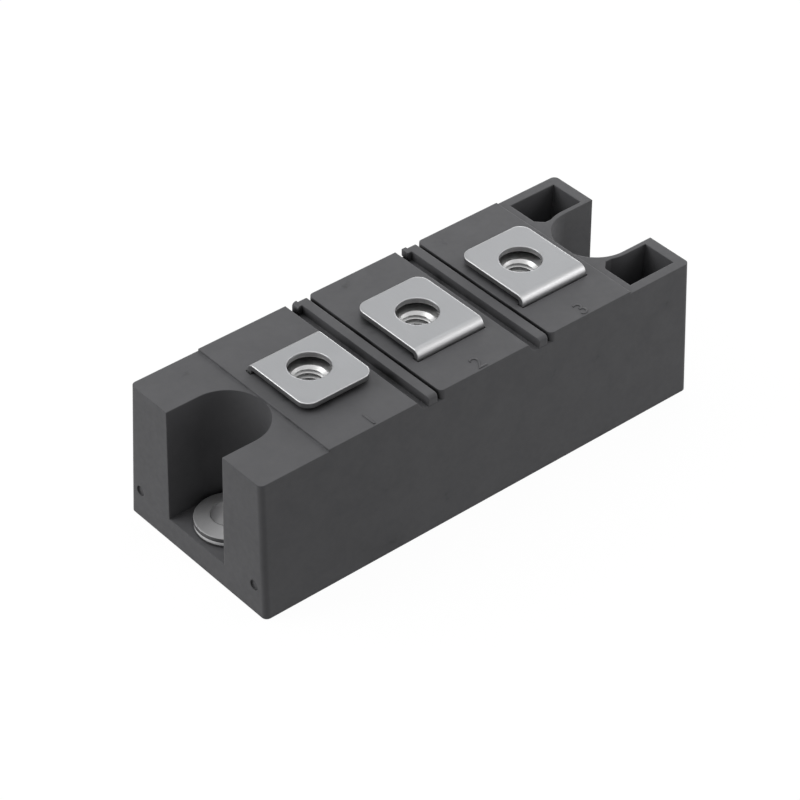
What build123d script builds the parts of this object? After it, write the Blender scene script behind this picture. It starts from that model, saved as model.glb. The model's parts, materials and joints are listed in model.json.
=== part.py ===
from build123d import *
import os
from math import radians, tan

# Dual schottky diode module: a moulded housing on a copper plate that bolts to a heatsink.
# The origin is at the middle of the mounting face, with X along the module and Z up.
# The end with the two empty gate pockets is at +X. All sizes are in millimetres.

# Row of three terminals, which sets the length of the module
terminal_pitch = 23.0
terminal_width = 14.3
terminal_thickness = 1.0
terminal_gap = 0.8
terminal_hole = 7.45
free_end_reach = 7.75
bend_reach = 8.6
first_free_end_reach = 8.0
first_bend_reach = 7.2
corner_radius = 2.2
bend_inner_radius = 0.5
slit_clearance = 0.2
leg_shoulder_drop = 1.5
outer_foot_width = 8.0
middle_foot_width = 12.0
foot_margin = 0.6

# Nuts that sit loose in the deck under the terminals, threaded M6
nut_flats = 10.0
nut_height = 5.0
nut_bore = 5.0
nut_bore_chamfer = 0.6
nut_cone_angle = 30.0
nut_clearance = 0.1
nut_sink = 0.4
nut_boss_wall = 0.7
nut_boss_floor = 1.6
screw_relief_diameter = 6.8
screw_relief_depth = 5.0

# Moulded housing
base_width = 36.2
body_height = 27.0
deck_rise = 0.4
end_draft_angle = 1.0
side_draft_angle = 2.4
upright_edge_radius = 1.0
deck_thickness = 3.4
side_wall = 2.25
cavity_end_gap = 0.2
plate_proud = 0.2

# Open slots at both ends and the fixing bushes that stand in them
slot_width = 14.6
slot_end_wall = 2.15
slot_floor_thickness = 1.5
end_overhang = 7.0
fixing_bore = 6.4
fixing_clearance = 0.15
bush_wall = 0.7
bush_flange_width = 2.8
bush_flange_thickness = 1.4
bush_flange_crown = 0.6
bush_foot_flare = 1.0
bush_foot_recess = 0.1
washer_width = 2.75
washer_thickness = 1.05

# Corner posts, two of them with a gate pocket
post_end_wall = 2.0
post_side_wall = 1.85
post_inner_wall = 1.6
post_slot_wall = 0.85
post_corner_side = 7.6
post_corner_cut = 1.4
post_roof = 3.0
pocket_floor_height = 10.0
pocket_floor_thickness = 2.0

# Creepage grooves across the deck between the terminals, each with a rib standing in it
groove_shift = 0.5
groove_depth = 1.8
groove_slope_run = 1.3
groove_foot_radius = 0.5
wide_groove = 2.35
rib_thickness = 1.85
rib_end_radius = 0.7
rib_ear_width = 0.9
rib_ear_length = 1.6
narrow_groove = 0.7
deck_corner_radius = 0.9

# Small round recesses low on the -X end face
dimple_inset = 2.95
dimple_height = 5.8
dimple_diameter = 1.9
dimple_depth = 0.3

# Base plate and the bead that seals the housing to it
plate_thickness = 3.0
plate_corner_radius = 2.0
plate_clearance = 0.25
end_rim = 1.1
side_rim = 1.7
bead_thickness = 0.3

# Two insulated substrates with their copper, solder, diode chips and contact clips
substrate_gap = 3.0
substrate_end_gap = 1.9
substrate_side_gap = 1.7
solder_thickness = 0.15
back_copper_thickness = 0.3
ceramic_thickness = 0.6
track_thickness = 0.3
copper_margin = 0.7
track_gap = 1.2
anode_track_length = 16.4
chip_to_track = 3.3
chip_size = 11.0
chip_thickness = 0.4
chip_end_inset = 4.8
chip_side_inset = 2.1
clip_width = 4.8
clip_thickness = 0.5
clip_end_inset = 1.2
clip_edge_inset = 1.0
clip_chip_grip = 6.5
clip_foot_margin = 1.8
clip_slope_run = 1.5
clip_rise = 1.4
clip_bend_radius = 0.6
gel_level = 12.0

# Places along X, worked out from the terminal row: fixing holes 80 apart, 94 long at the foot
end_lean = tan(radians(end_draft_angle))
cavity_end = terminal_pitch + terminal_width / 2 + slit_clearance + cavity_end_gap
deck_end = cavity_end + slot_end_wall
fixing_x = deck_end + slot_width / 2
base_length = 2 * (fixing_x + end_overhang)
top_length = base_length - 2 * (body_height - plate_proud) * end_lean
pocket_inner_end = deck_end + post_inner_wall
pocket_outer_end = top_length / 2 - post_end_wall
groove_x = terminal_pitch / 2 + groove_shift
groove_width = wide_groove + rib_thickness + narrow_groove

# Places along Y
side_lean = tan(radians(side_draft_angle))
top_width = base_width - 2 * (body_height - plate_proud) * side_lean
cavity_side = top_width / 2 - side_wall
pocket_outer_side = top_width / 2 - post_side_wall
pocket_inner_side = slot_width / 2 + post_slot_wall
plate_length = base_length - 2 * (end_rim + plate_clearance)
plate_width = base_width - 2 * (side_rim + plate_clearance)

# Heights
seat_height = plate_thickness + bead_thickness
slot_floor = seat_height + slot_floor_thickness
washer_top = slot_floor + washer_thickness
flange_top = washer_top + bush_flange_thickness
deck_top = body_height + deck_rise
ceiling = deck_top - deck_thickness
terminal_top = deck_top + terminal_gap + terminal_thickness
nut_seat = deck_top - nut_sink - nut_height
relief_bottom = nut_seat - screw_relief_depth
back_copper_bottom = plate_thickness + solder_thickness
ceramic_bottom = back_copper_bottom + back_copper_thickness
track_bottom = ceramic_bottom + ceramic_thickness
track_top = track_bottom + track_thickness
chip_top = track_top + chip_thickness

# Round the fixings and the nuts
neck_radius = fixing_bore / 2 + bush_wall
neck_hole = neck_radius + fixing_clearance
flange_radius = fixing_bore / 2 + bush_flange_width
washer_radius = fixing_bore / 2 + washer_width
nut_seat_radius = nut_flats / 2 + nut_clearance
nut_cone_foot_radius = nut_flats / 2 + nut_height / 2 / tan(radians(nut_cone_angle))

# Outlines of the substrates, and the feet of the terminals on them
substrate_length = cavity_end - substrate_end_gap - substrate_gap / 2
substrate_width = 2 * (cavity_side - substrate_side_gap)
substrate_x = (substrate_length + substrate_gap) / 2
copper_length = substrate_length - 2 * copper_margin
copper_width = substrate_width - 2 * copper_margin
anode_track_width = copper_width - chip_side_inset - chip_size - chip_to_track
foot_end = copper_width / 2 - foot_margin

# Place, side of the bend, reach of bend and free end, and foot width of each terminal
terminals = [
    (-terminal_pitch, 1, first_bend_reach, first_free_end_reach, outer_foot_width),
    (0, -1, bend_reach, free_end_reach, middle_foot_width),
    (terminal_pitch, -1, bend_reach, free_end_reach, outer_foot_width),
]

os.makedirs("parts", exist_ok=True)


def save(piece, name):
    """Label a finished piece and write it as a node of its own."""
    piece.part.label = name
    export_step(piece.part, f"parts/{name}.step")


def draft_outline(foot, angle):
    """Upright outline of the body, drawn in a little towards its top."""
    with Locations((0, plate_proud)):
        Trapezoid(foot, body_height - plate_proud, 90 - angle, align=(Align.CENTER, Align.MIN))


def slot_outline():
    """Both end slots: round inside, open past the end faces."""
    for side in (-1, 1):
        with Locations((side * fixing_x, 0)):
            Circle(slot_width / 2)
        with Locations((side * (fixing_x + end_overhang), 0)):
            Rectangle(2 * end_overhang, slot_width)


def post_hollow_outline(side):
    """Hollow of both posts at one end, with a web of even thickness along the slot."""
    near = side * pocket_inner_end
    far = side * pocket_outer_end
    cut = side * post_corner_cut
    Polygon(
        (near, post_corner_side + post_corner_cut),
        (near, pocket_outer_side),
        (far, pocket_outer_side),
        (far, post_corner_side),
        (near + cut, post_corner_side),
        align=None,
    )
    mirror(about=Plane.XZ)
    with Locations((side * fixing_x, 0)):
        Circle(pocket_inner_side, mode=Mode.SUBTRACT)
    with Locations((side * (fixing_x + end_overhang / 2), 0)):
        Rectangle(end_overhang, 2 * pocket_inner_side, mode=Mode.SUBTRACT)


def substrate_plane(side, height):
    """Level of one substrate, whose layout is turned round at +X."""
    return Plane((side * substrate_x, 0, height), x_dir=(-side, 0, 0), z_dir=(0, 0, 1))


def plain_layer(side, bottom, thickness, length, width):
    """Rectangular layer of one substrate."""
    with BuildPart() as layer:
        with BuildSketch(substrate_plane(side, bottom)):
            Rectangle(length, width)
        extrude(amount=thickness)
    return layer


# Housing: one moulding, open below, with a slot at each end
with BuildPart() as housing:
    with BuildSketch(Plane.XZ):
        draft_outline(base_length, end_draft_angle)
    extrude(amount=base_width / 2, both=True)
    with BuildSketch(Plane.YZ):
        draft_outline(base_width, side_draft_angle)
    extrude(amount=base_length / 2, both=True, mode=Mode.INTERSECT)
    fillet(housing.edges().group_by(Axis.Z)[1], radius=upright_edge_radius)
    with BuildSketch(Plane.XY.offset(body_height)):
        Rectangle(2 * deck_end, top_width)
    extrude(amount=deck_rise, taper=side_draft_angle)
    with BuildSketch(Plane.XY.offset(slot_floor)):
        slot_outline()
    extrude(amount=deck_top - slot_floor, mode=Mode.SUBTRACT)

    # Gate pockets from above at +X, and cores from below in all four posts
    with BuildSketch(Plane.XY.offset(pocket_floor_height)):
        post_hollow_outline(1)
    extrude(amount=deck_top - pocket_floor_height, mode=Mode.SUBTRACT)
    with BuildSketch(Plane.XY.offset(plate_proud)):
        post_hollow_outline(1)
    extrude(amount=pocket_floor_height - pocket_floor_thickness - plate_proud, mode=Mode.SUBTRACT)
    with BuildSketch(Plane.XY.offset(plate_proud)):
        post_hollow_outline(-1)
    extrude(amount=body_height - post_roof - plate_proud, mode=Mode.SUBTRACT)

    # Creepage grooves: a slope down, a rib with an ear at its far end, and a narrow gap behind it
    groove_floor = deck_top - groove_depth
    for middle in (-groove_x, groove_x):
        start = middle - groove_width / 2
        with BuildSketch(Plane.XZ) as groove:
            with BuildLine():
                Polyline(
                    (start, deck_top),
                    (start + groove_slope_run, groove_floor),
                    (start + groove_width, groove_floor),
                    (start + groove_width, deck_top),
                    close=True,
                )
            make_face()
            slope_foot = groove.vertices().group_by(Axis.Y)[0].sort_by(Axis.X)[0]
            fillet(slope_foot, radius=groove_foot_radius)
        extrude(amount=base_width / 2, both=True, mode=Mode.SUBTRACT)
        step = (start + groove_width, 0, deck_top)
        ends = housing.faces().filter_by(Axis.X).sort_by_distance(step)[0].edges().sort_by(Axis.Y)
        fillet(ends[:1] + ends[-1:], radius=deck_corner_radius)
        with BuildSketch(Plane.YZ.offset(start + wide_groove)) as rib:
            with Locations((0, deck_top - groove_depth / 2)):
                Rectangle(top_width, groove_depth)
            fillet(rib.vertices().group_by(Axis.Y)[-1], radius=rib_end_radius)
        extrude(amount=rib_thickness)
        with BuildSketch(Plane.XZ.offset(-top_width / 2)) as ear:
            with Locations((start + wide_groove, deck_top)):
                Rectangle(rib_ear_width, groove_depth, align=(Align.MAX, Align.MAX))
            fillet(ear.vertices().group_by(Axis.X)[0].sort_by(Axis.Z)[-1], radius=rib_end_radius)
        extrude(amount=rib_ear_length)

    # Recess for the base plate, and the main hollow above it
    with BuildSketch(Plane.XY.offset(plate_proud)):
        RectangleRounded(
            plate_length + 2 * plate_clearance,
            plate_width + 2 * plate_clearance,
            plate_corner_radius + plate_clearance,
        )
    extrude(amount=seat_height - plate_proud, mode=Mode.SUBTRACT)
    with BuildSketch(Plane.XY.offset(plate_proud)):
        Rectangle(2 * cavity_end, 2 * cavity_side)
    extrude(amount=ceiling - plate_proud, mode=Mode.SUBTRACT)

    # Nut bosses hanging from the deck, their hexagon seats and the holes for the screw tips
    boss_bottom = relief_bottom - nut_boss_floor
    with BuildSketch(Plane.XY.offset(boss_bottom)):
        with GridLocations(terminal_pitch, 0, 3, 1):
            RegularPolygon(nut_seat_radius + nut_boss_wall, 6, major_radius=False)
    extrude(amount=ceiling - boss_bottom)
    with BuildSketch(Plane.XY.offset(nut_seat)):
        with GridLocations(terminal_pitch, 0, 3, 1):
            RegularPolygon(nut_seat_radius, 6, major_radius=False)
    extrude(amount=deck_top - nut_seat, mode=Mode.SUBTRACT)
    with BuildSketch(Plane.XY.offset(relief_bottom)):
        with GridLocations(terminal_pitch, 0, 3, 1):
            Circle(screw_relief_diameter / 2)
    extrude(amount=screw_relief_depth, mode=Mode.SUBTRACT)

    # Slits where the terminals come up through the deck
    with BuildSketch(Plane.XY.offset(ceiling)):
        for x, side, bend, free, foot in terminals:
            with Locations((x, side * (bend - terminal_thickness / 2))):
                Rectangle(
                    terminal_width + 2 * slit_clearance,
                    terminal_thickness + 2 * slit_clearance,
                )
    extrude(amount=deck_thickness, mode=Mode.SUBTRACT)

    # Bush holes through the slot floors
    with BuildSketch(Plane.XY.offset(seat_height)):
        with GridLocations(2 * fixing_x, 0, 2, 1):
            Circle(neck_hole)
    extrude(amount=slot_floor_thickness, mode=Mode.SUBTRACT)

    # Two small round recesses low on the -X end face
    dimple_x = -base_length / 2 + (dimple_height - plate_proud) * end_lean
    with BuildSketch(Plane.YZ.offset(dimple_x)):
        with Locations((0, dimple_height)):
            with GridLocations(base_width - 2 * dimple_inset, 0, 2, 1):
                Circle(dimple_diameter / 2)
    extrude(amount=dimple_depth, both=True, mode=Mode.SUBTRACT)
save(housing, "housing")

# Base plate: flat copper, countersunk below for the flared feet of the bushes
with BuildPart() as base_plate:
    with BuildSketch():
        RectangleRounded(plate_length, plate_width, plate_corner_radius)
        with GridLocations(2 * fixing_x, 0, 2, 1):
            Circle(neck_hole, mode=Mode.SUBTRACT)
    extrude(amount=plate_thickness)
    lower_arcs = base_plate.edges().group_by(Axis.Z)[0].filter_by(GeomType.CIRCLE)
    chamfer(lower_arcs.group_by(SortBy.RADIUS)[-1], length=bush_foot_flare)
save(base_plate, "base_plate")

# Sealing bead between plate and housing, left out under every hollow
with BuildPart() as sealing_bead:
    with BuildSketch(Plane.XY.offset(plate_thickness)):
        RectangleRounded(plate_length, plate_width, plate_corner_radius)
        Rectangle(2 * cavity_end, 2 * cavity_side, mode=Mode.SUBTRACT)
        for side in (-1, 1):
            with BuildSketch(mode=Mode.SUBTRACT):
                post_hollow_outline(side)
        with GridLocations(2 * fixing_x, 0, 2, 1):
            Circle(neck_hole, mode=Mode.SUBTRACT)
    extrude(amount=bead_thickness)
save(sealing_bead, "sealing_bead")

# Fixing bushes: hollow rivets with a crowned flange, each on a plain washer
for number, side in enumerate((-1, 1), start=1):
    with BuildPart() as washer:
        with BuildSketch(Plane.XY.offset(slot_floor)):
            with Locations((side * fixing_x, 0)):
                Circle(washer_radius)
                Circle(neck_hole, mode=Mode.SUBTRACT)
        extrude(amount=washer_thickness)
    save(washer, f"bush_washer_{number}")

    with BuildPart() as bush:
        with BuildSketch(Plane((side * fixing_x, 0, 0), x_dir=(1, 0, 0), z_dir=(0, -1, 0))):
            with BuildLine():
                Polyline(
                    (fixing_bore / 2, flange_top),
                    (fixing_bore / 2, bush_foot_recess),
                    (neck_radius + bush_foot_flare - bush_foot_recess, bush_foot_recess),
                    (neck_radius, bush_foot_flare),
                    (neck_radius, washer_top),
                    (flange_radius, washer_top),
                    (flange_radius, flange_top - bush_flange_crown),
                    close=True,
                )
            make_face()
        revolve(axis=Axis((side * fixing_x, 0, 0), (0, 0, 1)))
    save(bush, f"fixing_bush_{number}")

# Terminals and nuts: a plate over each nut, its leg through the deck, its foot on the copper
immersed = []
for number, (x, side, bend, free, foot) in enumerate(terminals, start=1):
    with BuildPart() as terminal:
        with BuildSketch(Plane((x, 0, 0), x_dir=(0, side, 0), z_dir=(side, 0, 0))):
            with BuildLine():
                FilletPolyline(
                    (-free, terminal_top),
                    (bend, terminal_top),
                    (bend, track_top + terminal_thickness),
                    (foot_end, track_top + terminal_thickness),
                    radius=[bend_inner_radius + terminal_thickness, bend_inner_radius],
                )
                offset(amount=terminal_thickness, side=Side.RIGHT)
            make_face()
        extrude(amount=terminal_width / 2, both=True)
        shoulder = ceiling - leg_shoulder_drop
        with BuildSketch(Plane.XZ):
            with Locations((x, (shoulder + track_top) / 2)):
                with GridLocations((terminal_width + foot) / 2, 0, 2, 1):
                    Rectangle((terminal_width - foot) / 2, shoulder - track_top)
        extrude(amount=base_width / 2, both=True, mode=Mode.SUBTRACT)
        with Locations((x, 0, terminal_top)):
            Hole(terminal_hole / 2, depth=terminal_thickness)
        outwards = Axis((0, 0, 0), (0, side, 0))
        fillet(terminal.edges().filter_by(Axis.Z).sort_by(outwards)[:2], radius=corner_radius)
    save(terminal, f"terminal_{number}")
    immersed.append(terminal.part)

    with BuildPart() as nut:
        with BuildSketch(Plane.XY.offset(nut_seat)):
            with Locations((x, 0)):
                RegularPolygon(nut_flats / 2, 6, major_radius=False)
        extrude(amount=nut_height)
        with BuildSketch(Plane((x, 0, nut_seat), x_dir=(1, 0, 0), z_dir=(0, -1, 0))):
            with BuildLine():
                Polyline(
                    (nut_bore / 2, nut_bore_chamfer),
                    (nut_bore / 2 + nut_bore_chamfer, 0),
                    (nut_cone_foot_radius, 0),
                    (nut_cone_foot_radius, nut_height / 2),
                    (nut_flats / 2, nut_height),
                    (nut_bore / 2 + nut_bore_chamfer, nut_height),
                    (nut_bore / 2, nut_height - nut_bore_chamfer),
                    close=True,
                )
            make_face()
        revolve(axis=Axis((x, 0, 0), (0, 0, 1)), mode=Mode.INTERSECT)
    save(nut, f"terminal_nut_{number}")

# Substrates: solder, copper, ceramic and tracks, then a chip and the clip that joins it
for number, side in enumerate((-1, 1), start=1):
    solder = plain_layer(side, plate_thickness, solder_thickness, copper_length, copper_width)
    save(solder, f"substrate_solder_{number}")
    back_copper = plain_layer(
        side, back_copper_bottom, back_copper_thickness, copper_length, copper_width
    )
    save(back_copper, f"back_copper_{number}")
    ceramic = plain_layer(
        side, ceramic_bottom, ceramic_thickness, substrate_length, substrate_width
    )
    save(ceramic, f"ceramic_{number}")

    with BuildPart() as chip_pad:
        with BuildSketch(substrate_plane(side, track_bottom)):
            Rectangle(copper_length, copper_width)
            with Locations((-copper_length / 2, copper_width / 2)):
                Rectangle(
                    anode_track_length + track_gap,
                    anode_track_width + track_gap,
                    align=(Align.MIN, Align.MAX),
                    mode=Mode.SUBTRACT,
                )
        extrude(amount=track_thickness)
    save(chip_pad, f"chip_pad_{number}")

    with BuildPart() as anode_track:
        with BuildSketch(substrate_plane(side, track_bottom)):
            with Locations((-copper_length / 2, copper_width / 2)):
                Rectangle(anode_track_length, anode_track_width, align=(Align.MIN, Align.MAX))
        extrude(amount=track_thickness)
    save(anode_track, f"anode_track_{number}")

    with BuildPart() as chip:
        with BuildSketch(substrate_plane(side, track_top)):
            with Locations(
                (-copper_length / 2 + chip_end_inset, -copper_width / 2 + chip_side_inset)
            ):
                Rectangle(chip_size, chip_size, align=(Align.MIN, Align.MIN))
        extrude(amount=chip_thickness)
    save(chip, f"diode_chip_{number}")

    # The clip rests on chip and track, each time a little inside their facing edges
    clip_x = -copper_length / 2 + anode_track_length - clip_end_inset - clip_width / 2
    lift = -copper_width / 2 + chip_side_inset + chip_size - clip_edge_inset
    landing = copper_width / 2 - anode_track_width + clip_edge_inset
    clip_plane = Plane(
        (side * (substrate_x - clip_x), 0, 0), x_dir=(0, -side, 0), z_dir=(-side, 0, 0)
    )
    with BuildPart() as clip:
        with BuildSketch(clip_plane):
            with BuildLine():
                FilletPolyline(
                    (lift - clip_chip_grip, chip_top),
                    (lift, chip_top),
                    (lift + clip_slope_run, chip_top + clip_rise),
                    (landing - clip_slope_run, chip_top + clip_rise),
                    (landing, track_top),
                    (copper_width / 2 - clip_foot_margin, track_top),
                    radius=clip_bend_radius,
                )
                offset(amount=clip_thickness, side=Side.LEFT)
            make_face()
        extrude(amount=clip_width / 2, both=True)
    save(clip, f"contact_clip_{number}")

    stack = (solder, back_copper, ceramic, chip_pad, anode_track, chip, clip)
    immersed.extend(piece.part for piece in stack)

# Silicone gel: fills the hollow over the plate up to its level, round all that stands in it
with BuildPart() as silicone_gel:
    with BuildSketch(Plane.XY.offset(plate_thickness)):
        Rectangle(2 * cavity_end, 2 * cavity_side)
    extrude(amount=gel_level - plate_thickness)
    add(immersed, mode=Mode.SUBTRACT)
save(silicone_gel, "silicone_gel")
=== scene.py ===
import json
from math import cos, pi, radians, sin, tan, tau

import bmesh
import bpy
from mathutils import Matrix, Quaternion, Vector


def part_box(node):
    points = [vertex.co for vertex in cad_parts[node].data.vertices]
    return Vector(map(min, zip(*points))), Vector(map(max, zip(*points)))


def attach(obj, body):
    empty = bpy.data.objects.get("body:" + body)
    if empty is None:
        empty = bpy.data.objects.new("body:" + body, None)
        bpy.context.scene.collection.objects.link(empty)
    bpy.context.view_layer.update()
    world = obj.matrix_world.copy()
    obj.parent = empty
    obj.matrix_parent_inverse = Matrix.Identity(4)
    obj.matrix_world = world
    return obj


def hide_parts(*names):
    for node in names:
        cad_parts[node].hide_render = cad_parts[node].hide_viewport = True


# Looks of a dual diode module: moulded plastic, plated metal, real screw threads, raised numerals.
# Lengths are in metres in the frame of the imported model, with X along the module and Z up.

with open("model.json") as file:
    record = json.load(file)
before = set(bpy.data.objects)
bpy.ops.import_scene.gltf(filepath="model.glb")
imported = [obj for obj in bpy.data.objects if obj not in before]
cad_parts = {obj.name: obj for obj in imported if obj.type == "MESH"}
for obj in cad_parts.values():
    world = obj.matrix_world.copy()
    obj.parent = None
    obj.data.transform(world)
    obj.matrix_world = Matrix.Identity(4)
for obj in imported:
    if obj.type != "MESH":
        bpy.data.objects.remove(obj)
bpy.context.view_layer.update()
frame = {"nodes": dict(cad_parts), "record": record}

MM = 0.001
BODY = "root"
TERMINALS = (1, 2, 3)

# Camera: where it stands, what it looks at, its roll, its focal length on a 36 mm sensor, and
# from how near it sees
CAMERA_PLACE = Vector((-0.271194, -0.311444, 0.338741))
CAMERA_TARGET = Vector((-0.011935, -0.009696, 0.022441))
CAMERA_ROLL = radians(0.581)
CAMERA_LENS = 140.34
CAMERA_NEAR = 0.01
SENSOR_WIDTH = 36.0

# Stage: the ambient level, and a floor that shows a little over white, because the share of it
# that takes the shadow takes some away
AMBIENT = 0.4
WHITE = (1, 1, 1, 1)
FLOOR_SIZE = 6.0
FLOOR_WHITE = 1.2
SHADOW_SHARE = 0.2

# M6 thread in the terminal nuts, with its crest and its root flat over a share of the pitch
THREAD_PITCH = 1.0 * MM
THREAD_MINOR_RADIUS = 2.5 * MM
THREAD_MAJOR_RADIUS = 3.0 * MM
CREST_SHARE = 0.25
ROOT_SHARE = 0.125
NUT_FLATS = 10.0 * MM
NUT_BORE_CHAMFER = 0.6 * MM
NUT_CONE_ANGLE = radians(30)
NUT_CONE_STEPS = (0, 0.25, 0.5, 0.75, 1)
NUT_SHARP_ANGLE = radians(32)
NUT_STEPS_ROUND = 128
NUT_ROWS_PER_PITCH = 20

# Numerals moulded on the deck beside the terminals
NUMERAL_HEIGHT = 3.0 * MM
NUMERAL_RELIEF = 0.09 * MM
NUMERAL_SINK = 0.05 * MM
NUMERAL_EDGE_INSET = 2.9 * MM
DIGIT_SHARE = 0.7  # of the size of the font, how high a digit is

# Masks of the painted highlights on the straps and the bushes: where the bends of the straps
# begin, where the first strap ends along X, how far apart their holes are, and half the side of
# the square that takes in a hole or a bore
BEND_NEAR = 8.25 * MM
FIRST_BEND_NEAR = 6.9 * MM
FIRST_STRAP_END = -15.0 * MM
STRAP_PITCH = 23.0 * MM
HOLE_REACH = 4.0 * MM

# Ramp over a strap, by how far it faces upward: painted shade on its cut edges, a painted highlight
# on its bends and holes, its own colour on its flat
CUT_EDGE_SHADE = 0.1
HIGHLIGHT_FROM = 0.4
HIGHLIGHT_LEVEL = 0.6
HIGHLIGHT_TO = 0.85

# Levels of the painted light on the bushes and washers, upward faces lighter than side faces and
# bore walls lighter still as painted highlights, and the height of the painted highlight on the rim
# of the washers under the flanges of the bushes
UPWARD_LIGHT_LEVEL = 0.28
BORE_HIGHLIGHT_LEVEL = 0.45
WASHER_HIGHLIGHT_HEIGHT = 0.6 * MM

# Most of a noise lies between the first two values, and painted shade is at its darkest by the
# third
NOISE_LOW = 0.3
NOISE_HIGH = 0.7
FULL_PAINTED_SHADE = 0.1

# Rays a sample for the rounded edges and the painted shade of crevices
LOOK_RAYS = 8


def linear(grey):
    """Scene-linear value of a grey written as it shows on a screen, from 0 to 255."""
    share = grey / 255
    return share / 12.92 if share <= 0.04045 else ((share + 0.055) / 1.055) ** 2.4


def tone(red, green, blue):
    """Scene-linear colour of a screen colour, from 0 to 255."""
    return (linear(red), linear(green), linear(blue), 1.0)


def combine(tree, operation, first, second):
    """Result of an operation on two values, each a socket or a float."""
    node = tree.nodes.new("ShaderNodeMath")
    node.operation = operation
    for value, socket in zip((first, second), node.inputs):
        if isinstance(value, float):
            socket.default_value = value
        else:
            tree.links.new(value, socket)
    return node.outputs[0]


class Look:
    """A procedural material, built node by node on its principled shader."""

    def __init__(self, name, colour, roughness, metallic=0.0, specular=0.5):
        self.material = bpy.data.materials.new(name)
        self.material.use_nodes = True
        self.tree = self.material.node_tree
        self.shader = self.tree.nodes["Principled BSDF"]
        self.shader.inputs["Base Color"].default_value = colour
        self.shader.inputs["Roughness"].default_value = roughness
        self.shader.inputs["Metallic"].default_value = metallic
        self.shader.inputs["Specular IOR Level"].default_value = specular
        coordinates = self.tree.nodes.new("ShaderNodeTexCoord")
        self.place = coordinates.outputs["Object"]
        self.facing = coordinates.outputs["Normal"]
        self.rounded = None

    def math(self, operation, first, second):
        """Result of an operation on two values, each a socket or a float."""
        return combine(self.tree, operation, first, second)

    def within(self, value, reach):
        """One where the value is nearer to zero than the reach."""
        return self.math("LESS_THAN", self.math("ABSOLUTE", value, 0.0), reach)

    def both(self, first, second):
        """One where both masks are."""
        return self.math("MULTIPLY", first, second)

    def highest(self, first, second, third):
        """The highest of three values."""
        return self.math("MAXIMUM", self.math("MAXIMUM", first, second), third)

    def parts(self, vector):
        """The X, Y and Z of a vector."""
        node = self.tree.nodes.new("ShaderNodeSeparateXYZ")
        self.tree.links.new(vector, node.inputs["Vector"])
        return node.outputs

    def noise(self, scale, detail=2.0, stretch=(1, 1, 1)):
        """Noise of that many features a metre, drawn out along an axis by a small stretch."""
        mapping = self.tree.nodes.new("ShaderNodeMapping")
        mapping.inputs["Scale"].default_value = stretch
        self.tree.links.new(self.place, mapping.inputs["Vector"])
        texture = self.tree.nodes.new("ShaderNodeTexNoise")
        texture.inputs["Scale"].default_value = scale
        texture.inputs["Detail"].default_value = detail
        self.tree.links.new(mapping.outputs["Vector"], texture.inputs["Vector"])
        return texture.outputs["Fac"]

    def crevices(self, value, distance):
        """The value, less where a corner within the distance shuts the light out, for painted shade
        in a colour.
        """
        node = self.tree.nodes.new("ShaderNodeAmbientOcclusion")
        node.samples = LOOK_RAYS
        node.inputs["Distance"].default_value = distance
        return self.math("MULTIPLY", value, node.outputs["AO"])

    def colour_ramp(self, value):
        """Stops of a ramp that gives the base colour by the value."""
        ramp = self.tree.nodes.new("ShaderNodeValToRGB")
        self.tree.links.new(value, ramp.inputs["Fac"])
        self.tree.links.new(ramp.outputs["Color"], self.shader.inputs["Base Color"])
        return ramp.color_ramp.elements

    def vary_colour(self, value, dark, light, painted_shade=None):
        """Base colour from dark to light with the value, or from a colour of painted shade where it
        nears zero.
        """
        stops = self.colour_ramp(value)
        # Painted shade: values near zero, from shut-in corners or unlit sides, take the darkest
        # colour
        if painted_shade:
            stops[0].position = FULL_PAINTED_SHADE
            stops[0].color = painted_shade
            stops.new(NOISE_LOW)
        stops[-2].position = NOISE_LOW
        stops[-2].color = dark
        stops[-1].position = NOISE_HIGH
        stops[-1].color = light

    def darken_edges(self, face, painted_highlight, edge):
        """Colours of a bent strap: its own colour on its flat, a painted highlight on its bend and
        the wall of its hole, painted shade on its cut edges.

        The straps are bent at their outer ends, the first at +Y and the others at -Y."""
        upward = self.parts(self.facing)["Z"]
        rounded_upward = self.parts(self.rounded)["Z"]
        place = self.parts(self.place)
        bend = self.math("LESS_THAN", place["Y"], -BEND_NEAR)
        first_bend = self.both(
            self.math("GREATER_THAN", place["Y"], FIRST_BEND_NEAR),
            self.math("LESS_THAN", place["X"], FIRST_STRAP_END),
        )
        from_hole = self.math("PINGPONG", place["X"], STRAP_PITCH / 2)
        hole = self.both(
            self.math("LESS_THAN", from_hole, HOLE_REACH),
            self.within(place["Y"], HOLE_REACH),
        )
        # Painted highlight on the bends and on the walls of the holes
        highlighted = self.math("MULTIPLY", self.highest(bend, first_bend, hole), HIGHLIGHT_LEVEL)
        flat_round_hole = self.both(upward, hole)
        stops = self.colour_ramp(self.highest(rounded_upward, highlighted, flat_round_hole))
        # Painted shade on the cut edges, where the strap faces sideways
        stops[0].position = CUT_EDGE_SHADE
        stops[0].color = edge
        stops[1].color = face
        stops.new(HIGHLIGHT_FROM).color = painted_highlight
        stops.new(HIGHLIGHT_TO).color = painted_highlight

    def vary_roughness(self, value, low, high):
        """Roughness that runs from low to high with the value."""
        node = self.tree.nodes.new("ShaderNodeMapRange")
        node.inputs["From Min"].default_value = NOISE_LOW
        node.inputs["From Max"].default_value = NOISE_HIGH
        node.inputs["To Min"].default_value = low
        node.inputs["To Max"].default_value = high
        self.tree.links.new(value, node.inputs["Value"])
        self.tree.links.new(node.outputs["Result"], self.shader.inputs["Roughness"])

    def soften(self, radius):
        """Edges that catch the light as if they were rounded to that radius."""
        node = self.tree.nodes.new("ShaderNodeBevel")
        node.samples = LOOK_RAYS
        node.inputs["Radius"].default_value = radius
        self.tree.links.new(node.outputs["Normal"], self.shader.inputs["Normal"])
        self.rounded = node.outputs["Normal"]

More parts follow.
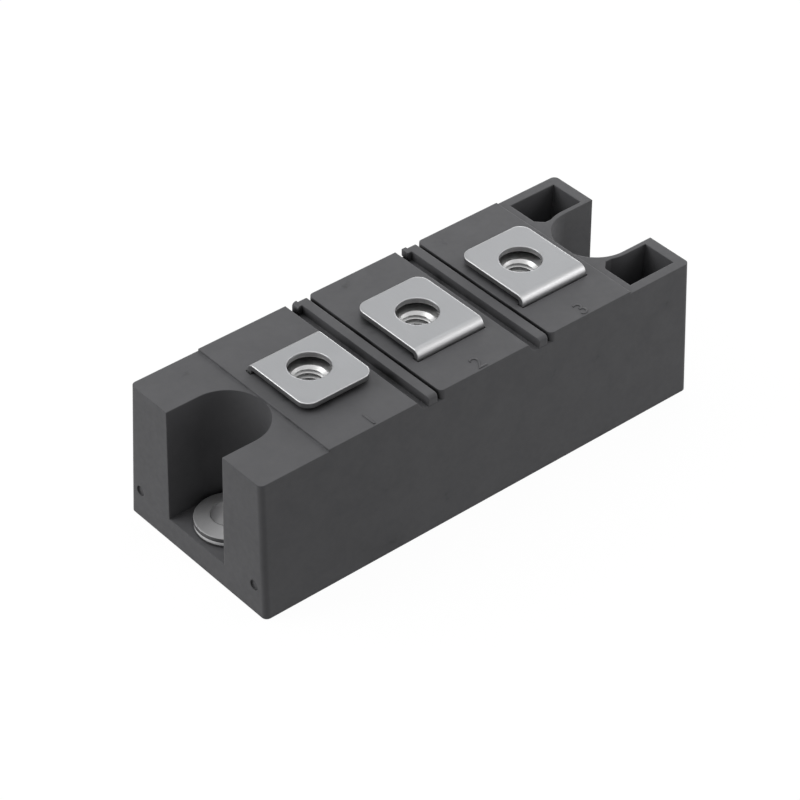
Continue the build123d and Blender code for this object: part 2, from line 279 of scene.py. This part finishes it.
    def bump(self, value, strength, depth):
        """Relief of that depth in metres, on top of the softened edges if there are any."""
        node = self.tree.nodes.new("ShaderNodeBump")
        if self.rounded:
            self.tree.links.new(self.rounded, node.inputs["Normal"])
        node.inputs["Strength"].default_value = strength
        node.inputs["Distance"].default_value = depth
        self.tree.links.new(value, node.inputs["Height"])
        self.tree.links.new(node.outputs["Normal"], self.shader.inputs["Normal"])


def moulded_plastic(name):
    """Dark grey thermoplastic with the fine sparked grain of its mould, faintly blotched, and
    painted shade darkening it in its corners and creases.
    """
    look = Look(name, tone(82, 82, 84), roughness=0.55, specular=0.25)
    # Random blotched tone, with painted shade that goes nearly black in corners and creases
    mottle_and_crevice_shade = look.crevices(look.noise(180, detail=4), distance=1.8 * MM)
    look.vary_colour(mottle_and_crevice_shade, tone(80, 80, 82), tone(85, 85, 87), painted_shade=tone(16, 16, 17))
    look.vary_roughness(look.noise(900), low=0.5, high=0.6)
    look.soften(0.3 * MM)
    look.bump(look.noise(5200, detail=3), strength=0.25, depth=0.02 * MM)
    return look.material


def tinned_copper(name):
    """Satin tin plating over a rolled strap, with the roll's faint lines, its sheared edges painted
    darker as shade, and its bends and hole walls painted lighter as highlights.
    """
    look = Look(name, tone(160, 162, 165), roughness=0.36, metallic=1.0)
    look.soften(0.32 * MM)
    # Painted shade on the cut edges, painted highlights on the bends and the hole walls
    look.darken_edges(
        face=tone(153, 154, 156), painted_highlight=tone(182, 182, 183), edge=tone(150, 150, 151)
    )
    look.vary_roughness(look.noise(2600, stretch=(1, 0.08, 1)), low=0.32, high=0.42)
    rolled = look.noise(4200, detail=2, stretch=(1, 0.06, 1))
    look.bump(rolled, strength=0.12, depth=0.008 * MM)
    return look.material


def formed_steel(name):
    """Plated steel of the bushes and washers, dull, painted with light and shade: lighter bores and
    bright washer rims as painted highlights, upward faces lighter than side faces, and painted
    shade in corners.
    """
    look = Look(name, tone(146, 146, 147), roughness=0.5, metallic=0.5)
    upward = look.parts(look.facing)["Z"]
    place = look.parts(look.place)
    low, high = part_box("fixing_bush_1")
    bush_from_middle = abs(low.x + high.x) / 2
    from_middle = look.math("ABSOLUTE", place["X"], 0.0)
    from_axis = look.math("SUBTRACT", from_middle, bush_from_middle)
    bore = look.both(look.within(from_axis, HOLE_REACH), look.within(place["Y"], HOLE_REACH))
    washer_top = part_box("bush_washer_1")[1].z
    rim = look.both(
        look.math("LESS_THAN", place["Z"], washer_top),
        look.math("GREATER_THAN", place["Z"], washer_top - WASHER_HIGHLIGHT_HEIGHT),
    )
    # Painted highlight on the rim of the washers, outside the bores
    rim_highlight = look.math("GREATER_THAN", rim, bore)
    # Painted light and shade: upward faces lighter, side faces darker
    upward_light = look.math("MULTIPLY", upward, UPWARD_LIGHT_LEVEL)
    # Painted shade in the corners, over both
    light_and_crevice_shade = look.crevices(look.math("MAXIMUM", upward_light, rim_highlight), distance=1.5 * MM)
    # Painted highlight on the walls of the bores
    bore_highlight = look.math("MULTIPLY", look.math("SUBTRACT", bore, upward), BORE_HIGHLIGHT_LEVEL)
    level = look.math("MAXIMUM", light_and_crevice_shade, bore_highlight)
    # From painted shade, through the steel's grey, to the painted highlight of the rims
    look.vary_colour(level, tone(150, 150, 151), tone(226, 226, 227), painted_shade=tone(84, 84, 85))
    look.vary_roughness(look.noise(1500), low=0.42, high=0.52)
    look.soften(0.3 * MM)
    look.bump(look.noise(3200, detail=2), strength=0.15, depth=0.01 * MM)
    return look.material


def nut_steel(name):
    """Bright plated steel of the nuts, faintly uneven."""
    look = Look(name, tone(200, 200, 200), roughness=0.46, metallic=1.0)
    look.vary_colour(look.noise(500, detail=3), tone(196, 196, 196), tone(204, 204, 204))
    look.vary_roughness(look.noise(900), low=0.43, high=0.49)
    return look.material


def plated_base(name):
    """Nickel-plated copper plate, ground flat along its length."""
    look = Look(name, tone(178, 175, 168), roughness=0.34, metallic=1.0)
    look.vary_colour(look.noise(90, detail=4), tone(170, 167, 160), tone(184, 181, 174))
    look.vary_roughness(look.noise(3800, stretch=(0.04, 1, 1)), low=0.28, high=0.42)
    look.bump(look.noise(5200, stretch=(0.03, 1, 1)), strength=0.2, depth=0.006 * MM)
    return look.material


def bare_copper(name):
    """Rolled copper of the tracks and clips, a little oxidised."""
    look = Look(name, tone(196, 128, 96), roughness=0.38, metallic=1.0)
    look.vary_colour(look.noise(300, detail=4), tone(184, 112, 80), tone(206, 140, 108))
    look.vary_roughness(look.noise(2400, stretch=(1, 0.1, 1)), low=0.3, high=0.46)
    return look.material


def soft_solder(name):
    """Dull grey solder with a frosty surface."""
    look = Look(name, tone(165, 166, 168), roughness=0.5, metallic=1.0)
    look.vary_roughness(look.noise(1800, detail=4), low=0.4, high=0.6)
    look.bump(look.noise(2600, detail=3), strength=0.3, depth=0.02 * MM)
    return look.material


def white_ceramic(name):
    """Fired alumina, faintly grained."""
    look = Look(name, tone(232, 231, 226), roughness=0.45)
    look.vary_colour(look.noise(1500, detail=4), tone(226, 225, 219), tone(238, 237, 232))
    look.bump(look.noise(6000), strength=0.2, depth=0.01 * MM)
    return look.material


def metallised_silicon(name):
    """Chip with a fine satin metal face."""
    look = Look(name, tone(96, 100, 110), roughness=0.25, metallic=0.8)
    look.vary_roughness(look.noise(3000), low=0.2, high=0.32)
    return look.material


def silicone(name, colour, transmission):
    """Cured silicone, faintly uneven."""
    look = Look(name, colour, roughness=0.3)
    look.shader.inputs["Transmission Weight"].default_value = transmission
    look.shader.inputs["IOR"].default_value = 1.41
    look.bump(look.noise(600), strength=0.2, depth=0.05 * MM)
    return look.material


LOOKS = {
    "housing_plastic": moulded_plastic("housing_plastic"),
    "plated_base": plated_base("plated_base"),
    "plated_terminal": tinned_copper("plated_terminal"),
    "nut_steel": nut_steel("nut_steel"),
    "bush_steel": formed_steel("bush_steel"),
    "sealant": silicone("sealant", tone(196, 196, 194), transmission=0.0),
    "gel": silicone("gel", tone(232, 231, 224), transmission=0.8),
    "solder": soft_solder("solder"),
    "bare_copper": bare_copper("bare_copper"),
    "ceramic": white_ceramic("ceramic"),
    "silicon": metallised_silicon("silicon"),
}


def dress_frame():
    """Give each carried-over node the look of its slot in the record."""
    for row in frame["record"]["subparts"]:
        piece = frame["nodes"][row["node"]]
        piece.data.materials.clear()
        piece.data.materials.append(LOOKS[row["material_slot"]])


def add_piece(name, mesh, slot):
    """Link a finished mesh as a piece of the module."""
    mesh.materials.append(LOOKS[slot])
    piece = bpy.data.objects.new(name, mesh)
    bpy.context.scene.collection.objects.link(piece)
    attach(piece, BODY)
    return piece


def nut_bore_radius(angle, height, nut_height):
    """Radius of the threaded bore: a helical groove between two chamfers."""
    turn = (height / THREAD_PITCH - angle / tau) % 1.0
    from_crest = abs(2 * turn - 1) - CREST_SHARE
    depth = THREAD_MAJOR_RADIUS - THREAD_MINOR_RADIUS
    flank = min(1.0, max(0.0, from_crest / (1 - CREST_SHARE - ROOT_SHARE)))
    thread = THREAD_MINOR_RADIUS + depth * flank
    edge = min(height, nut_height - height)
    return max(thread, THREAD_MINOR_RADIUS + NUT_BORE_CHAMFER - edge)


def nut_outer_radius(angle, height, nut_height):
    """Radius of the hexagon, cut by a cone at its upper face."""
    hexagon = NUT_FLATS / 2 / cos(angle % (pi / 3) - pi / 6)
    return min(hexagon, NUT_FLATS / 2 + (nut_height - height) / tan(NUT_CONE_ANGLE))


def threaded_nut(name, node):
    """Hexagon nut with a cut thread, in the place of its plain solid."""
    low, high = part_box(node)
    centre = (low + high) / 2
    nut_height = high.z - low.z
    rows = round(nut_height / THREAD_PITCH * NUT_ROWS_PER_PITCH)
    bore_heights = [nut_height * row / rows for row in range(rows + 1)]
    cone_height = (NUT_FLATS / 2 / cos(pi / 6) - NUT_FLATS / 2) * tan(NUT_CONE_ANGLE)
    outer_heights = [nut_height - cone_height * share for share in NUT_CONE_STEPS] + [0.0]
    built = bmesh.new()
    rings = []
    for step in range(NUT_STEPS_ROUND):
        angle = tau * step / NUT_STEPS_ROUND
        section = [(nut_bore_radius(angle, z, nut_height), z) for z in bore_heights]
        section += [(nut_outer_radius(angle, z, nut_height), z) for z in outer_heights]
        rings.append([
            built.verts.new((centre.x + r * cos(angle), centre.y + r * sin(angle), low.z + z))
            for r, z in section
        ])
    for step, ring in enumerate(rings):
        following = rings[(step + 1) % NUT_STEPS_ROUND]
        for index in range(len(ring)):
            after = (index + 1) % len(ring)
            built.faces.new((ring[index], following[index], following[after], ring[after]))
    bmesh.ops.recalc_face_normals(built, faces=built.faces)
    mesh = bpy.data.meshes.new(name)
    built.to_mesh(mesh)
    built.free()
    mesh.shade_smooth()
    mesh.set_sharp_from_angle(angle=NUT_SHARP_ANGLE)
    piece = add_piece(name, mesh, "nut_steel")
    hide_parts(node)


def moulded_numeral(number):
    """Raised numeral on the deck, on the near side of its terminal."""
    name = f"numeral_{number}"
    low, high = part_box(f"terminal_{number}")
    deck_low, deck_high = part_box("housing")
    text = bpy.data.curves.new(f"numeral_text_{number}", "FONT")
    text.body = str(number)
    text.size = NUMERAL_HEIGHT / DIGIT_SHARE
    text.align_x = "CENTER"
    text.align_y = "CENTER"
    text.extrude = (NUMERAL_RELIEF + NUMERAL_SINK) / 2
    holder = bpy.data.objects.new(f"numeral_text_{number}", text)
    holder.location = (
        (low.x + high.x) / 2,
        deck_low.y + NUMERAL_EDGE_INSET,
        deck_high.z + (NUMERAL_RELIEF - NUMERAL_SINK) / 2,
    )
    bpy.context.scene.collection.objects.link(holder)
    bpy.context.view_layer.update()
    evaluated = holder.evaluated_get(bpy.context.evaluated_depsgraph_get())
    mesh = bpy.data.meshes.new_from_object(evaluated)
    mesh.transform(holder.matrix_world)
    bpy.data.objects.remove(holder)
    mesh.name = name
    add_piece(name, mesh, "housing_plastic")


def background_share(tree):
    """One where a ray shows the background: seen by the camera, or in gloss or glass."""
    path = tree.nodes.new("ShaderNodeLightPath").outputs
    reflected = combine(tree, "MAXIMUM", path["Is Glossy Ray"], path["Is Transmission Ray"])
    return combine(tree, "MAXIMUM", path["Is Camera Ray"], reflected)


def mix_shaders(tree, share, first, second):
    """From the first shader to the second as the share goes from zero to one."""
    choice = tree.nodes.new("ShaderNodeMixShader")
    tree.links.new(share, choice.inputs["Fac"])
    tree.links.new(first.outputs[0], choice.inputs[1])
    tree.links.new(second.outputs[0], choice.inputs[2])
    return choice.outputs[0]


def white_world(ambient):
    """World that shows white and lights the module with a plain ambient level."""
    world = bpy.data.worlds.new("studio")
    bpy.context.scene.world = world
    world.use_nodes = True
    tree = world.node_tree
    shown = tree.nodes.new("ShaderNodeBackground")
    shown.inputs["Color"].default_value = WHITE
    light = tree.nodes["Background"]
    light.inputs["Color"].default_value = WHITE
    light.inputs["Strength"].default_value = ambient
    mixed = mix_shaders(tree, background_share(tree), light, shown)
    tree.links.new(mixed, tree.nodes["World Output"].inputs["Surface"])


def white_floor(size, shadow_share):
    """Floor that shows white with a faint shadow of the module."""
    mesh = bpy.data.meshes.new("floor")
    half = size / 2
    corners = [(-half, -half, 0), (half, -half, 0), (half, half, 0), (-half, half, 0)]
    mesh.from_pydata(corners, [], [(0, 1, 2, 3)])
    floor = bpy.data.objects.new("floor", mesh)
    bpy.context.scene.collection.objects.link(floor)
    look = Look("floor", tone(140, 140, 140), roughness=0.9, specular=0.0)
    tree = look.tree
    white = tree.nodes.new("ShaderNodeEmission")
    white.inputs["Strength"].default_value = FLOOR_WHITE
    white_share = look.math("MULTIPLY", background_share(tree), 1 - shadow_share)
    mixed = mix_shaders(tree, white_share, look.shader, white)
    tree.links.new(mixed, tree.nodes["Material Output"].inputs["Surface"])
    mesh.materials.append(look.material)


def soft_lamp(name, direction, distance, size, level):
    """Square lamp that faces the module from that direction.

    The level is what it adds to a white surface that faces it. Such a surface sends back the
    light it gets over pi, and it gets the lamp's power over pi and the distance squared."""
    data = bpy.data.lights.new(name, "AREA")
    data.shape = "SQUARE"
    data.size = size
    data.energy = level * pi * pi * distance ** 2
    lamp = bpy.data.objects.new(name, data)
    toward = Vector(direction).normalized()
    lamp.location = toward * distance
    lamp.rotation_mode = "QUATERNION"
    lamp.rotation_quaternion = toward.to_track_quat("Z", "Y")
    bpy.context.scene.collection.objects.link(lamp)


def photo_camera():
    """Camera in the place and with the lens that the fit to the photo gave."""
    data = bpy.data.cameras.new("camera")
    data.sensor_width = SENSOR_WIDTH
    data.lens = CAMERA_LENS
    data.clip_start = CAMERA_NEAR
    camera = bpy.data.objects.new("camera", data)
    camera.location = CAMERA_PLACE
    camera.rotation_mode = "QUATERNION"
    aim = (CAMERA_TARGET - CAMERA_PLACE).to_track_quat("-Z", "Y")
    camera.rotation_quaternion = aim @ Quaternion((0, 0, 1), CAMERA_ROLL)
    bpy.context.scene.collection.objects.link(camera)
    bpy.context.scene.camera = camera


dress_frame()
for terminal in TERMINALS:
    threaded_nut(f"threaded_nut_{terminal}", f"terminal_nut_{terminal}")
    moulded_numeral(terminal)

bpy.context.scene.view_settings.view_transform = "Standard"
white_world(AMBIENT)
white_floor(FLOOR_SIZE, SHADOW_SHARE)
soft_lamp("left", direction=(-0.66, 0.50, 0.56), distance=0.45, size=0.3, level=0.49)
soft_lamp("top", direction=(0.1, 0.2, 0.97), distance=0.8, size=0.5, level=0.24)
soft_lamp("right", direction=(0.78, -0.45, 0.42), distance=0.35, size=0.22, level=0.26)
soft_lamp("back", direction=(0.8, 0.59, 0.15), distance=0.5, size=0.3, level=0.25)
photo_camera()
